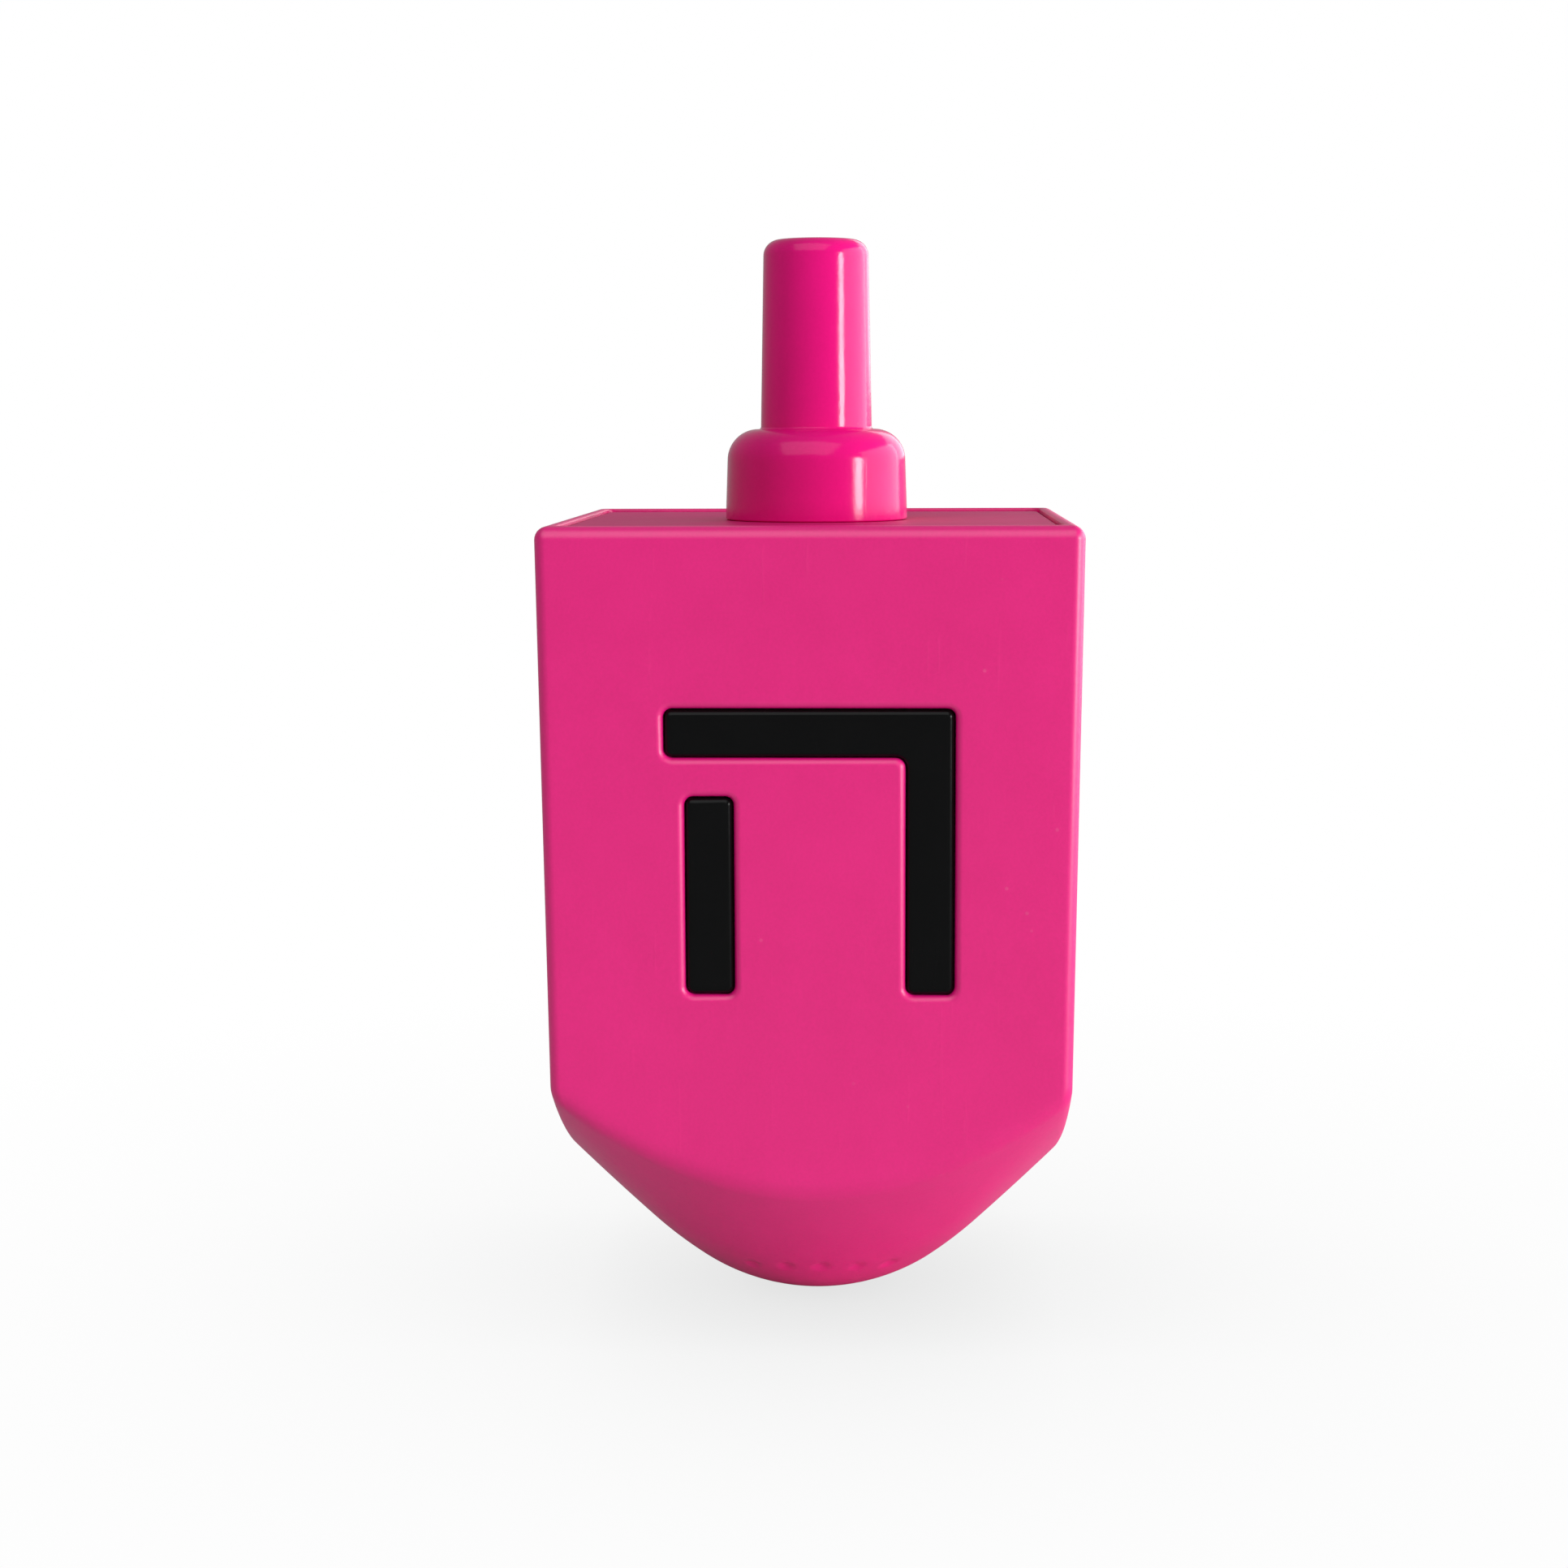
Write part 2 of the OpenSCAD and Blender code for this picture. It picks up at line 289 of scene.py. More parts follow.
def piece(name, mesh, finish, body, slot, *nodes):
    """A finished piece that rides on a body and stands for CAD nodes."""
    soften(mesh)
    obj = bpy.data.objects.new(name, mesh)
    bpy.context.scene.collection.objects.link(obj)
    mesh.materials.clear()
    mesh.materials.append(finish)
    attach(obj, body)
    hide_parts(*nodes)


# Shape of the body
def half_at(z):
    """Half the body's width at a height."""
    return BODY_W / 2 - math.tan(DRAFT) * (BODY_H - z)


def level(t):
    """A thickness square to a leaning wall, as it measures along the level."""
    return t / math.cos(DRAFT)


def round_max(a, b, r):
    """Where two solids overlap, with their common edge rounded."""
    over = np.hypot(np.maximum(a + r, 0), np.maximum(b + r, 0))
    return np.minimum(np.maximum(a, b), -r) + over


def soft_max(a, b, k):
    """Where two solids overlap at a shallow angle, with the crease between them spread."""
    near = np.maximum(k - np.abs(a - b), 0)
    return np.maximum(a, b) + near * near / (4 * k)


def walls(p, inset, corner):
    """How far points are outside the four leaning walls, set in by an inset."""
    reach = half_at(p[..., 2]) - level(inset)
    x = (np.abs(p[..., 0]) - reach) * math.cos(DRAFT)
    y = (np.abs(p[..., 1]) - reach) * math.cos(DRAFT)
    return round_max(x, y, corner)


def arc_centre(r, z, slope):
    """Centre of a long arc of the nose's outline that passes a point at a slope."""
    return r - FLANK_R * math.sin(slope), z + FLANK_R * math.cos(slope)


def arc_z(centre, r):
    """Height of a long arc at a radius."""
    return centre[1] - math.sqrt(FLANK_R**2 - (r - centre[0]) ** 2)


FLANK = arc_centre(TIP_R * math.sin(SLOPE), TIP_R - TIP_R * math.cos(SLOPE), SLOPE)
PANEL = arc_centre(PANEL_START, arc_z(FLANK, PANEL_START), PANEL_SLOPE)


def inside_arc(centre, r, z, inset):
    """How far points are outside a long arc, set in by an inset."""
    return np.hypot(r - centre[0], z - centre[1]) - (FLANK_R - inset)


def panels(p, inset):
    """Four arched panels, each turned about an axis of its own behind the middle."""
    x, y = np.abs(p[..., 0]), np.abs(p[..., 1])
    sides = np.hypot(x + PANEL_BACK, y) - PANEL_BACK
    ends = np.hypot(x, y + PANEL_BACK) - PANEL_BACK
    a = inside_arc(PANEL, sides, p[..., 2], inset)
    b = inside_arc(PANEL, ends, p[..., 2], inset)
    return soft_max(a, b, PANEL_BLEND)


def nose(p):
    """How far points are outside the nose: a ball, its flank and the panels."""
    r = np.hypot(p[..., 0], p[..., 1])
    ball = np.hypot(r, p[..., 2] - TIP_R) - TIP_R
    on_ball = np.arctan2(r, TIP_R - p[..., 2]) < SLOPE
    turned = np.where(on_ball, ball, inside_arc(FLANK, r, p[..., 2], 0))
    return soft_max(turned, panels(p, 0), PANEL_BLEND)


def dent_centres():
    """Radius and centres of the balls that press the row of dents."""
    ball = (DENT_W**2 / 4 + DENT_D**2) / (2 * DENT_D)
    tilt = (SLOPE + PANEL_SLOPE) / 2
    step = math.asin(DENT_PITCH / DENT_OUT)
    made = []
    for i in range(DENT_COUNT):
        turn = DENT_TURN + (i - (DENT_COUNT - 1) / 2) * step
        reach = math.hypot(DENT_OUT * math.sin(turn), DENT_OUT * math.cos(turn) + PANEL_BACK) - PANEL_BACK
        z = max(arc_z(FLANK, DENT_OUT), arc_z(PANEL, reach)) - (ball - DENT_D) * math.cos(tilt)
        out = DENT_OUT + (ball - DENT_D) * math.sin(tilt)
        made.append((out * math.sin(turn), -out * math.cos(turn), z))
    return ball, made


DENT_BALL, DENTS = dent_centres()


def outside(p):
    """How far points are outside the body, with its soft edges and dents."""
    field = round_max(walls(p, 0, EDGE_R), nose(p), NOSE_BLEND)
    for centre in DENTS:
        away = np.linalg.norm(p - np.array(centre), axis=-1)
        field = round_max(field, DENT_BALL - away, DENT_LIP)
    return field


def hollow(p):
    """How far points are outside the space in the body."""
    r = np.hypot(p[..., 0], p[..., 1])
    turned = inside_arc(FLANK, r, p[..., 2], WALL_T)
    field = soft_max(turned, panels(p, WALL_T), PANEL_BLEND)
    field = round_max(walls(p, WALL_T, MOUTH_R), field, HOLLOW_BLEND)
    return round_max(field, TIP_T - p[..., 2], HOLLOW_FLOOR_BLEND)


def section(half, corner):
    """Points round a square with round corners, anticlockwise from the left end of the front."""
    flat = np.linspace(-1, 1, FLAT_STEPS + 1) * (half - corner)
    side = np.c_[flat, np.full_like(flat, -half)]
    a = np.linspace(-math.pi / 2, 0, CORNER_STEPS + 1)[1:-1]
    bend = np.c_[np.cos(a), np.sin(a)] * corner + np.array([1, -1]) * (half - corner)
    one = np.r_[side, bend]
    four = []
    for _ in LETTERS:
        four.append(one)
        one = np.c_[-one[:, 1], one[:, 0]]
    return np.concatenate(four)


def ring(inset, z, corner):
    """A level loop round the body, set in from its walls."""
    points = section(half_at(z) - level(inset), corner)
    return np.c_[points, np.full(len(points), z)]


def circle(radius, z):
    """A round loop whose points face those of a section."""
    points = section(BODY_W / 2, EDGE_R)
    points = points / np.linalg.norm(points, axis=1, keepdims=True) * radius
    return np.c_[points, np.full(len(points), z)]


def fan(field, elevations):
    """Rings where rays from a point on the axis, at angles below level, leave a solid."""
    spots = section(half_at(FAN_Z), EDGE_R)
    bearing = np.arctan2(spots[:, 1], spots[:, 0])[None, :]
    e = np.radians(np.asarray(elevations, float))[:, None]
    level_way = np.stack([np.cos(bearing), np.sin(bearing), 0 * bearing], -1)
    way = level_way * np.cos(e)[..., None] - np.array([0, 0, 1]) * np.sin(e)[..., None]
    start = np.array([0, 0, FAN_Z])
    low = np.zeros(way.shape[:2])
    high = np.full(way.shape[:2], FAN_REACH)
    for _ in range(FAN_HALVINGS):
        middle = (low + high) / 2
        out = field(start + way * middle[..., None]) > 0
        high = np.where(out, middle, high)
        low = np.where(out, low, middle)
    return list(start + way * low[..., None])


# Letters
def on_face(face, x, depth, z):
    """Points given on a face: x to the right, depth into the wall, z up from the letter's middle."""
    x, depth, z = np.broadcast_arrays(x, depth, np.asarray(z, float) - LETTER_DROP)
    y = depth * math.cos(DRAFT) - z * math.sin(DRAFT) - BODY_W / 2
    up = depth * math.sin(DRAFT) + z * math.cos(DRAFT) + BODY_H
    c, s = QUARTER_TURNS[face]
    return np.stack([c * x - s * y, s * x + c * y, up], -1)


def off_face(face, p):
    """The x and z on a face of points in space."""
    c, s = QUARTER_TURNS[face]
    x = c * p[:, 0] + s * p[:, 1]
    y = -s * p[:, 0] + c * p[:, 1] + BODY_W / 2
    z = p[:, 2] - BODY_H
    return np.c_[x, -y * math.sin(DRAFT) + z * math.cos(DRAFT) + LETTER_DROP]


def letter_corners(letter):
    """Corners of each stroke outline of a letter, anticlockwise."""
    foot, head, s = -LETTER_H / 2, LETTER_H / 2, STROKE_W
    if letter == "hei":
        r = LETTER_W / 2
        leg, top = -r + HEI_STEP, head - s - HEI_GAP
        main = [(r - s, foot), (r, foot), (r, head), (-r, head), (-r, head - s), (r - s, head - s)]
        return [main, [(leg, foot), (leg + s, foot), (leg + s, top), (leg, top)]]
    if letter == "shin":
        r = LETTER_W / 2
        main = [(-r, foot), (r, foot), (r, head), (r - s, head), (r - s, foot + s), (s / 2, foot + s)]
        main += [(s / 2, head), (-s / 2, head), (-s / 2, foot + s)]
        main += [(s - r, foot + s), (s - r, head), (-r, head)]
        return [main]
    if letter == "nun":
        r = NUN_W / 2
        back = r - NUN_HEAD
        main = [(-r, foot), (r, foot), (r, head), (back, head), (back, head - s)]
        return [main + [(r - s, head - s), (r - s, foot + s), (-r, foot + s)]]
    r = GIMEL_W / 2
    back = r - GIMEL_HEAD
    run, rise = math.sin(GIMEL_LEAN), math.cos(GIMEL_LEAN)
    base = -r + s / rise
    upper = foot + (2 * r - s) * rise / run
    lower = foot + (r - s - base) * rise / run
    main = [(-r, foot), (base, foot), (r - s, lower), (r - s, foot), (r, foot), (r, head)]
    return [main + [(back, head), (back, head - s), (r - s, head - s), (r - s, upper)]]


def outline(corners, offset):
    """A loop round corners, moved outwards, with each corner rounded by the same number of points."""
    corners = [np.array(c, float) for c in corners]
    n = len(corners)
    loop = []
    for i, here in enumerate(corners):
        ahead = corners[(i + 1) % n] - here
        behind = here - corners[i - 1]
        ahead, behind = ahead / np.linalg.norm(ahead), behind / np.linalg.norm(behind)
        turn = math.atan2(behind[0] * ahead[1] - behind[1] * ahead[0], behind @ ahead)
        out_a = np.array([behind[1], -behind[0]])
        out_b = np.array([ahead[1], -ahead[0]])
        corner = here + (out_a + out_b) / (1 + out_a @ out_b) * offset
        radius = CONVEX_R + offset if turn > 0 else CONCAVE_R - offset
        radius = max(radius, LEAST_R)
        sign = 1 if turn > 0 else -1
        reach = radius * math.tan(abs(turn) / 2)
        centre = corner - behind * reach - out_a * radius * sign
        for k in range(LETTER_CORNER_STEPS + 1):
            a = turn * k / LETTER_CORNER_STEPS
            c, s = math.cos(a), math.sin(a)
            out = np.array([c * out_a[0] - s * out_a[1], s * out_a[0] + c * out_a[1]])
            loop.append(centre + out * radius * sign)
    return np.array(loop)


def disc(radius, z):
    """A round loop on a face, at a height from the letter's middle."""
    a = np.linspace(0, 2 * math.pi, HOLE_STEPS, endpoint=False)
    return np.c_[np.cos(a) * radius, np.sin(a) * radius + z]


def quarter(steps):
    """Sine and cosine along a quarter turn."""
    a = np.linspace(0, math.pi / 2, steps + 1)
    return list(zip(np.sin(a), np.cos(a)))


# The shell: rings up the outside, over the rim, down the inside, with a window for each letter
def shell_rings():
    """Rings from the tip over the rim to the hollow's floor, and which of them start the window panels."""
    rings = fan(outside, NOSE_RAYS)
    rings += [ring(0, z, EDGE_R) for z in (FAN_Z, PANEL_LOW)]
    outer_panel = len(rings) - 1
    rings += [ring(0, z, EDGE_R) for z in (PANEL_HIGH, BODY_H - RIM_R)]
    for s, c in quarter(RIM_STEPS)[1:]:
        inset = RIM_R * (1 - c)
        rings.append(ring(inset, BODY_H - RIM_R * (1 - s), max(EDGE_R - inset, SMALL_R)))
    ledge = COVER_Z - COVER_T
    rings.append(ring(RIM_T - SMALL_R, BODY_H, MOUTH_R + SMALL_R))
    rings.append(ring(RIM_T, BODY_H - SMALL_R, MOUTH_R))
    rings.append(ring(RIM_T, ledge, MOUTH_R))
    rings.append(ring(WALL_T - SMALL_R, ledge, MOUTH_R + SMALL_R))
    rings.append(ring(WALL_T, ledge - SMALL_R, MOUTH_R))
    rings.append(ring(WALL_T, PANEL_HIGH, MOUTH_R))
    inner_panel = len(rings) - 1
    rings += [ring(WALL_T, z, MOUTH_R) for z in (PANEL_LOW, FAN_Z)]
    rings += fan(hollow, HOLLOW_RAYS)
    return rings, outer_panel, inner_panel


def cut_windows(skin, face, front, back):
    """Lines the windows of a wall's letter, and fills the wall's two panels round them."""
    places = np.concatenate(skin.points)
    fronts, backs = [front], [back]
    front_flat = [off_face(face, places[front])]
    back_flat = [off_face(face, places[back])]
    for corners in letter_corners(LETTERS[face]):
        loops = []
        for s, c in quarter(LIP_STEPS):
            edge = outline(corners, FIT_GAP + LIP_R * (1 - s))
            loops.append((edge, LIP_R * (1 - c)))
        loops.append((outline(corners, FIT_GAP), WALL_T))
        made = [skin.add(on_face(face, edge[:, 0], depth, edge[:, 1])) for edge, depth in loops]
        for a, b in zip(made, made[1:]):
            skin.band(a, b)
        fronts.append(made[0])
        front_flat.append(loops[0][0])
        backs.append(made[-1])
        back_flat.append(loops[-1][0])
    skin.fill(fronts, front_flat)
    skin.fill(backs, back_flat, flip=True)


def make_shell():
    skin = Skin()
    rings, outer_panel, inner_panel = shell_rings()
    ids = [skin.add(r) for r in rings]
    per_face = FLAT_STEPS + CORNER_STEPS
    first = round((1 - PANEL_SHARE) / 2 * FLAT_STEPS)
    last = FLAT_STEPS - first
    keep = np.ones(len(LETTERS) * per_face, bool)
    for face in range(len(LETTERS)):
        keep[face * per_face + first : face * per_face + last] = False
    for i in range(len(ids) - 1):
        skin.band(ids[i], ids[i + 1], keep if i in (outer_panel, inner_panel) else None)
    tip = skin.add([[0, 0, 0]])[0]
    skin.cone(ids[0][::-1], tip)
    floor = skin.add([[0, 0, TIP_T]])[0]
    skin.cone(ids[-1], floor)
    for face in range(len(LETTERS)):
        columns = face * per_face + np.arange(first, last + 1)
        front = np.r_[ids[outer_panel][columns], ids[outer_panel + 1][columns[::-1]]]
        back = np.r_[ids[inner_panel + 1][columns], ids[inner_panel][columns[::-1]]]
        cut_windows(skin, face, front, back)
    return skin.mesh("shell")


def make_plate(face):
    """A plate behind a wall, with its letter standing through the wall's window."""
    skin = Skin()
    w, h = PLATE_W / 2, PLATE_H / 2
    box = [(-w, -h), (w, -h), (w, h), (-w, h)]

    def put(loop, depth):
        return skin.add(on_face(face, loop[:, 0], depth, loop[:, 1]))

    def walls_between(loops, hole=False):
        made = [put(loop, depth) for loop, depth in loops]
        for a, b in zip(made, made[1:]):
            if hole:
                skin.band(a, b)
            else:
                skin.band(b, a)
        return made[0], made[-1]

    far = WALL_T + PLATE_T
    inner = outline(box, -SMALL_R)
    outer = outline(box, 0)
    edges = [(inner, WALL_T), (outer, WALL_T + SMALL_R), (outer, far - SMALL_R), (inner, far)]
    front_edge, back_edge = walls_between(edges)
    fronts, front_flat = [front_edge], [inner]
    backs, back_flat = [back_edge], [inner]
    for z in (-STAKE_Z, STAKE_Z):
        hole = disc(STAKE_R + FIT_GAP, z)
        a, b = walls_between([(hole, WALL_T), (hole, far)], hole=True)
        fronts.append(a)
        front_flat.append(hole)
        backs.append(b)
        back_flat.append(hole)
    for corners in letter_corners(LETTERS[face]):
        loops = []
        for s, c in quarter(STROKE_STEPS):
            edge = outline(corners, -STROKE_R * (1 - s))
            loops.append((edge, LETTER_SINK + STROKE_R * (1 - c)))
        loops.append((outline(corners, 0), WALL_T))
        top, base = walls_between(loops)
        skin.fill([top], [loops[0][0]])
        fronts.append(base)
        front_flat.append(loops[-1][0])
    skin.fill(fronts, front_flat)
    skin.fill(backs, back_flat, flip=True)
    return skin.mesh(LETTERS[face] + "_letter")


def make_cover():
    """Rings from the underside over the skirt, up the edge, over the top and down the hole."""
    skin = Skin()
    under = COVER_Z - COVER_T
    foot = under - SKIRT_H
    edge = RIM_T + COVER_GAP
    plug = WALL_T + COVER_GAP
    hole = TENON_R + FIT_GAP
    corner = MOUTH_R - COVER_GAP
    rings = [
        circle(hole, under),
        ring(plug + SKIRT_T, under, SKIRT_CORNER_R),
        ring(plug + SKIRT_T, foot + SMALL_R, SKIRT_CORNER_R),
        ring(plug + SKIRT_T - SMALL_R, foot, SKIRT_FOOT_R),
        ring(plug + 2 * SMALL_R, foot, corner),
        ring(plug, foot + 2 * SMALL_R, corner),
        ring(plug, under, corner),
        ring(edge, under, corner),
    ]
    for s, c in quarter(COVER_EDGE_STEPS):
        bevel = COVER_EDGE_R * (1 - c)
        rings.append(ring(edge + bevel, COVER_Z - COVER_EDGE_R * (1 - s), corner))
    rings.append(circle(hole, COVER_Z))
    ids = [skin.add(r) for r in rings]
    for a, b in zip(ids, ids[1:] + ids[:1]):
        skin.band(a, b)
    return skin.mesh("cover")


# Shader and geometry nodes
class Wire:
    """A node's output that does arithmetic by adding Math nodes."""

    def __init__(self, graph, socket):
        self.graph = graph
        self.socket = socket

    def math(self, operation, *values):
        return self.graph.node("ShaderNodeMath", dict(enumerate(values)), operation=operation)

    def __add__(self, other):
        return self.math("ADD", self, other)

    def __radd__(self, other):
        return self.math("ADD", other, self)

    def __sub__(self, other):
        return self.math("SUBTRACT", self, other)

    def __rsub__(self, other):
        return self.math("SUBTRACT", other, self)

    def __mul__(self, other):
        return self.math("MULTIPLY", self, other)

    def __rmul__(self, other):
        return self.math("MULTIPLY", other, self)

    def __truediv__(self, other):
        return self.math("DIVIDE", self, other)

    def __rtruediv__(self, other):
        return self.math("DIVIDE", other, self)

    def __mod__(self, other):
        return self.math("FLOORED_MODULO", self, other)

    def step(self, low, high):
        """0 below low, 1 above high, smooth between."""
        values = {"Value": self, "From Min": low, "From Max": high}
        return self.graph.node("ShaderNodeMapRange", values, interpolation_type="SMOOTHSTEP")


class Graph:
    """Adds nodes to a tree and links them."""

    def __init__(self, tree):
        self.tree = tree

    def node(self, kind, inputs=None, out=0, **settings):
        made = self.tree.nodes.new(kind)
        for name, value in settings.items():
            setattr(made, name, value)
        for name, value in (inputs or {}).items():
            if isinstance(value, Wire):
                self.tree.links.new(value.socket, made.inputs[name])
            else:
                made.inputs[name].default_value = value
        return Wire(self, made.outputs[out]) if made.outputs else None


def material(name, build):
    """A material whose surface is what build makes with its graph."""
    made = bpy.data.materials.new(name)
    made.use_nodes = True
    made.node_tree.nodes.clear()
    graph = Graph(made.node_tree)
    graph.node("ShaderNodeOutputMaterial", {"Surface": build(graph)})
    return made


def opaque(colour, depth=1.0):
    """A colour made deeper and given its alpha."""
    return (*[c * depth for c in colour], 1)


def place(graph):
    return graph.node("ShaderNodeTexCoord", out="Object")


def noise(graph, scale, detail=2.0, rough=0.5, vector=None):
    inputs = {"Vector": vector or place(graph), "Scale": scale, "Detail": detail, "Roughness": rough}
    return graph.node("ShaderNodeTexNoise", inputs)


def blend(graph, factor, a, b):
    """Mixes two colours; the node's colour sockets share their names, so they go by number."""
    return graph.node("ShaderNodeMix", {0: factor, 6: a, 7: b}, out=2, data_type="RGBA")


def stretched(graph, x, y, z):
    inputs = {"Vector": place(graph), "Scale": (x, y, z)}
    return graph.node("ShaderNodeMapping", inputs)


def pink_plastic(name, rough, sheen, grain, depth=1.0):
    """Moulded glossy pink plastic: faint flow marks, fine grain, hairline scuffs and a little dust; depth
    darkens the whole colour, which the cover uses as painted shade.
    """

    def build(g):
        flow = noise(g, scale=110, detail=3, rough=0.55, vector=stretched(g, 1, 1, 0.45))
        cloud = noise(g, scale=420)
        fine = noise(g, scale=5200, rough=0.6)
        peel = noise(g, scale=1500, detail=1)
        scuff = noise(g, scale=260, rough=0.6, vector=stretched(g, 9, 9, 0.5)).step(0.66, 0.74)
        speck = g.node("ShaderNodeTexVoronoi", {"Vector": place(g), "Scale": 620.0, "Randomness": 1.0})
        dust = speck.step(0.09, 0.04) * noise(g, scale=160, detail=1).step(0.52, 0.68)
        tone = (flow - 0.5) * 0.5 + (cloud - 0.5) * 0.25 + (fine - 0.5) * grain + 0.5
        # A depth below one deepens the colour as painted shade; only the cover uses it
        colour = blend(g, tone, opaque(PINK_DARK, depth), opaque(PINK_LIGHT, depth))
        colour = blend(g, dust * 0.06, colour, opaque(PALE_DUST))
        bump = g.node(
            "ShaderNodeBump",
            {"Strength": 0.12, "Distance": 0.00006, "Height": peel + fine * 0.6 + scuff * 0.3},
        )
        shine = rough + (cloud - 0.5) * 0.08 + scuff * 0.08 + dust * 0.2
        return g.node(
            "ShaderNodeBsdfPrincipled",
            {"Base Color": colour, "Roughness": shine, "Normal": bump, "Specular IOR Level": sheen},
        )

    return material(name, build)


def black_plastic():
    """Satin black plastic of the letters, with fine grain and scuffs."""

    def build(g):
        cloud = noise(g, scale=380)
        fine = noise(g, scale=4200, rough=0.6)
        scuff = noise(g, scale=300, rough=0.6, vector=stretched(g, 8, 8, 0.5)).step(0.64, 0.74)
        peel = noise(g, scale=1400, detail=1)
        tone = cloud * 0.6 + fine * 0.4
        colour = blend(g, tone, opaque(BLACK_DARK), opaque(BLACK_LIGHT))
        bump = g.node(
            "ShaderNodeBump",
            {"Strength": 0.1, "Distance": 0.00005, "Height": peel + fine * 0.5 + scuff * 0.3},
        )
        shine = 0.2 + (cloud - 0.5) * 0.1 + scuff * 0.1
        return g.node(
            "ShaderNodeBsdfPrincipled",
            {"Base Color": colour, "Roughness": shine, "Normal": bump, "Specular IOR Level": 0.12},
        )

    return material("black_plastic", build)


def zinc_steel():
    """Zinc-plated steel with fine lathe lines."""

    def build(g):
        lathe = noise(g, scale=2600, rough=0.6, vector=stretched(g, 1, 1, 4))
        cloud = noise(g, scale=700, detail=3)
        tone = lathe * 0.5 + cloud * 0.5
        colour = blend(g, tone, opaque(STEEL_DARK), opaque(STEEL_LIGHT))
        bump = g.node("ShaderNodeBump", {"Strength": 0.15, "Distance": 0.00004, "Height": lathe})
        return g.node(
            "ShaderNodeBsdfPrincipled",
            {"Base Color": colour, "Roughness": 0.26 + cloud * 0.2, "Metallic": 1.0, "Normal": bump},
        )

    return material("zinc_steel", build)


def rays(graph):
    """Masks of the rays from the camera, from reflections and through clear things."""
    path = graph.tree.nodes.new("ShaderNodeLightPath")
    names = ("Is Camera Ray", "Is Glossy Ray", "Is Transmission Ray")
    return [Wire(graph, path.outputs[name]) for name in names]


def white_paper():
    """Pale paper that glows white to the eye and dimmer in reflections, with a painted shadow where the
    body hides it from the sky.
    """

    def build(g):
        eye, gloss, clear = rays(g)
        # Painted shadow: the glow darkens with ambient occlusion near the body, fully in reflections and
        # by up to a quarter to the eye
        open_sky = g.node("ShaderNodeAmbientOcclusion", {"Distance": PAINTED_SHADOW_REACH}, out="AO")
        painted_shadow_glow = (open_sky + (1 - open_sky) * eye * PAINTED_SHADOW_LIFT) * (1 - gloss * GLOSS_DIM)
        paper = g.node("ShaderNodeBsdfDiffuse", {"Color": opaque(PAPER_GREY)})
        white = g.node("ShaderNodeEmission", {"Color": painted_shadow_glow, "Strength": 1.0})
        return g.node("ShaderNodeMixShader", {0: eye + gloss + clear, 1: paper, 2: white})

    return material("white_paper", build)


def pale_world():
    """Even grey light that is white to the eye and pale in reflections."""
    world = bpy.data.worlds.new("world")
    bpy.context.scene.world = world
    world.use_nodes = True
    world.node_tree.nodes.clear()
    g = Graph(world.node_tree)
    eye, gloss, clear = rays(g)
    seen = eye + (gloss + clear) * WORLD_GLOSS
    colour = blend(g, seen, opaque(WORLD_GREY), opaque(WHITE))
    light = g.node("ShaderNodeBackground", {"Color": colour, "Strength": 1.0})
    g.node("ShaderNodeOutputWorld", {"Surface": light})


def add_socket(tree, name, kind, way="INPUT"):
    return tree.interface.new_socket(name, in_out=way, socket_type=kind)


def turned_group():
    """Turns a profile, a row of points in the XZ plane, about the Z axis."""
    tree = bpy.data.node_groups.new("Turned", "GeometryNodeTree")
    add_socket(tree, "Profile", "NodeSocketGeometry")
    add_socket(tree, "Segments", "NodeSocketInt")
    add_socket(tree, "Geometry", "NodeSocketGeometry", "OUTPUT")
    g = Graph(tree)
    given = tree.nodes.new("NodeGroupInput")
    profile = Wire(g, given.outputs["Profile"])
    segments = Wire(g, given.outputs["Segments"])
    count = g.node("GeometryNodeAttributeDomainSize", {0: profile})
    grid = g.node("GeometryNodeMeshGrid", {"Vertices X": segments + 1, "Vertices Y": count})
    index = g.node("GeometryNodeInputIndex")
    here = g.node("GeometryNodeInputPosition")
    row = index % count
    spot = g.node(
        "GeometryNodeSampleIndex",
        {0: profile, "Value": here, "Index": row},
        data_type="FLOAT_VECTOR",
    )
    parts = g.tree.nodes.new("ShaderNodeSeparateXYZ")
    tree.links.new(spot.socket, parts.inputs[0])
    reach, up = Wire(g, parts.outputs["X"]), Wire(g, parts.outputs["Z"])
    angle = (index - row) / count * (2 * math.pi) / segments
    x = reach * angle.math("COSINE", angle)
    y = reach * angle.math("SINE", angle)
    moved = g.node("ShaderNodeCombineXYZ", {"X": x, "Y": y, "Z": up})
    shaped = g.node("GeometryNodeSetPosition", {"Geometry": grid, "Position": moved})
    joined = g.node("GeometryNodeMergeByDistance", {"Geometry": shaped, "Distance": JOIN_NEAR})
    g.node("NodeGroupOutput", {"Geometry": joined})
    return tree


def turned_tree(group):
    """One turned piece with its material."""
    tree = bpy.data.node_groups.new("Turned piece", "GeometryNodeTree")
    add_socket(tree, "Profile", "NodeSocketGeometry")
    add_socket(tree, "Segments", "NodeSocketInt")
    add_socket(tree, "Material", "NodeSocketMaterial")
    add_socket(tree, "Geometry", "NodeSocketGeometry", "OUTPUT")
    g = Graph(tree)
    given = tree.nodes.new("NodeGroupInput")
    inputs = {k: Wire(g, given.outputs[k]) for k in ("Profile", "Segments")}
    body = g.node("GeometryNodeGroup", inputs, node_tree=group)
    real = g.node("GeometryNodeRealizeInstances", {"Geometry": body})
    paint = Wire(g, given.outputs["Material"])
    done = g.node("GeometryNodeSetMaterial", {"Geometry": real, "Material": paint})
    g.node("NodeGroupOutput", {"Geometry": done})
    return tree


